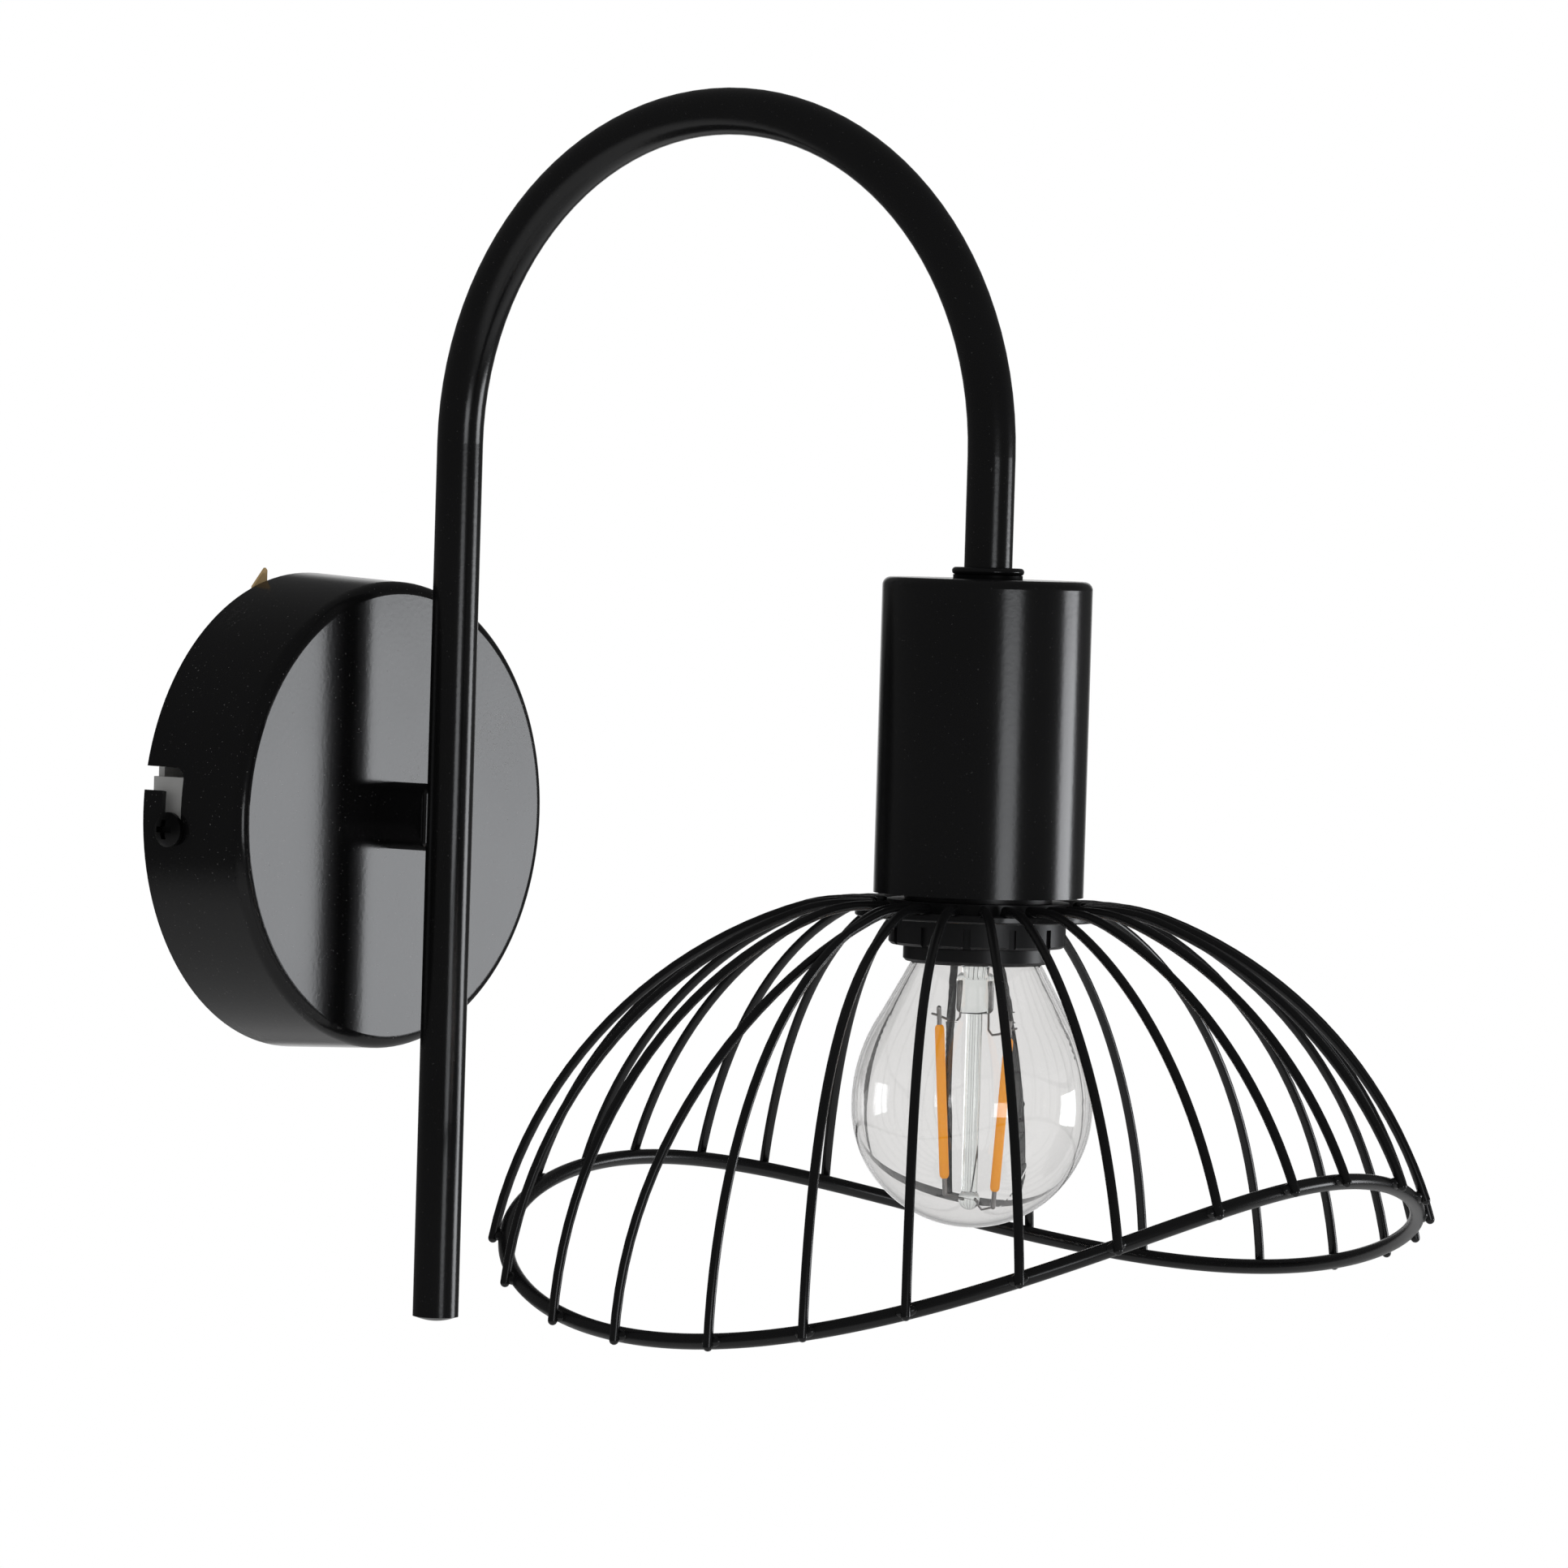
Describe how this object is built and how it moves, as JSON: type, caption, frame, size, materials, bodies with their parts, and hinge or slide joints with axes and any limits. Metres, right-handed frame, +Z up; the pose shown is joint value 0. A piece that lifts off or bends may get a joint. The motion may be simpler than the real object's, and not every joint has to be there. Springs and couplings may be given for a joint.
{
  "type": "wall light",
  "caption": "Wall light: a round wall cup and a bent tube arm carry a lampholder under a cover, with a wavy wire cage shade and a clear round bulb.",
  "frame": {"origin": "middle of the wall cup, on the wall plane, which is the back face of the bracket", "axes": "+Y into the wall, -Y out along the arm's reach, +Z up"},
  "size_m": [0.1806, 0.2516, 0.2407],
  "materials": {
    "black_paint": "satin black enamel",
    "zinc_steel": "bright zinc plate",
    "brass_part": "pressed brass",
    "white_plastic": "moulded, matt",
    "black_plastic": "moulded, satin",
    "brown_lead": "wire covering",
    "blue_lead": "wire covering",
    "solder": "soft solder",
    "nickel_shell": "nickel plate",
    "dark_insulator": "glassy black",
    "clear_glass": "clear blown glass",
    "filament_coat": "yellow silicone coat",
    "driver_board": "board and small parts"
  },
  "bodies": {
    "wall_mount": {"wall_bracket": "zinc_steel", "cup_screws": "zinc_steel", "earth_tag": "brass_part", "earth_screw": "brass_part"},
    "lamp": {"canopy": "black_paint", "terminal_strap": "zinc_steel", "boss_washer": "zinc_steel", "boss_nut": "zinc_steel", "terminal_block": "white_plastic", "terminal_sleeves": "brass_part", "clamp_screws": "zinc_steel", "block_screw": "zinc_steel", "arm_boss": "black_paint", "weld_beads": "black_paint", "arm_tube": "black_paint", "tube_plug": "black_paint", "lead_bush": "white_plastic", "collar": "black_paint", "lock_washer": "zinc_steel", "cover": "black_paint", "cover_washer": "zinc_steel", "cover_nut": "zinc_steel", "holder_cap": "black_plastic", "holder_body": "black_plastic", "centre_contact": "brass_part", "side_contact": "brass_part", "holder_terminals": "brass_part", "holder_screws": "zinc_steel", "live_lead": "brown_lead", "neutral_lead": "blue_lead"},
    "shade": {"shade_disc": "black_paint", "shade_wires_front": "black_paint", "shade_wires_right": "black_paint", "shade_wires_back": "black_paint", "shade_wires_left": "black_paint", "shade_rim": "black_paint"},
    "clamp_ring": {"shade_ring": "black_plastic"},
    "bulb_tip": {"bulb_pip": "solder"},
    "bulb": {"bulb_shell": "nickel_shell", "bulb_insulator": "dark_insulator", "bulb_glass": "clear_glass", "bulb_stem": "clear_glass", "bulb_rod": "clear_glass", "bulb_filaments": "filament_coat", "filament_supports": "nickel_shell", "bulb_driver": "driver_board"}
  },
  "joints": [
    {"name": "cup_twist", "type": "hinge", "parent": "wall_mount", "child": "lamp", "pos_m": [0, 0, 0], "axis": [0, -1, 0], "range_deg": [0, 12]},
    {"name": "shade_drop", "type": "slide", "parent": "lamp", "child": "shade", "axis": [0, 0, -1], "range_m": [0, 0.004]},
    {"name": "ring_unscrew", "type": "hinge", "parent": "shade", "child": "clamp_ring", "pos_m": [0, -0.168, 0], "axis": [0, 0, -1], "range_deg": [0, 720]},
    {"name": "bulb_travel", "type": "slide", "parent": "lamp", "child": "bulb_tip", "axis": [0, 0, -1], "range_m": [0, 0.01411]},
    {"name": "bulb_unscrew", "type": "hinge", "parent": "bulb_tip", "child": "bulb", "pos_m": [0, -0.168, 0], "axis": [0, 0, -1], "range_deg": [0, 1800]}
  ],
  "couplings": [
    {"joint": "ring_unscrew", "follows": "shade_drop", "rad_per_m": 3141.6},
    {"joint": "bulb_travel", "follows": "bulb_unscrew", "m_per_rad": 0.00044913}
  ]
}
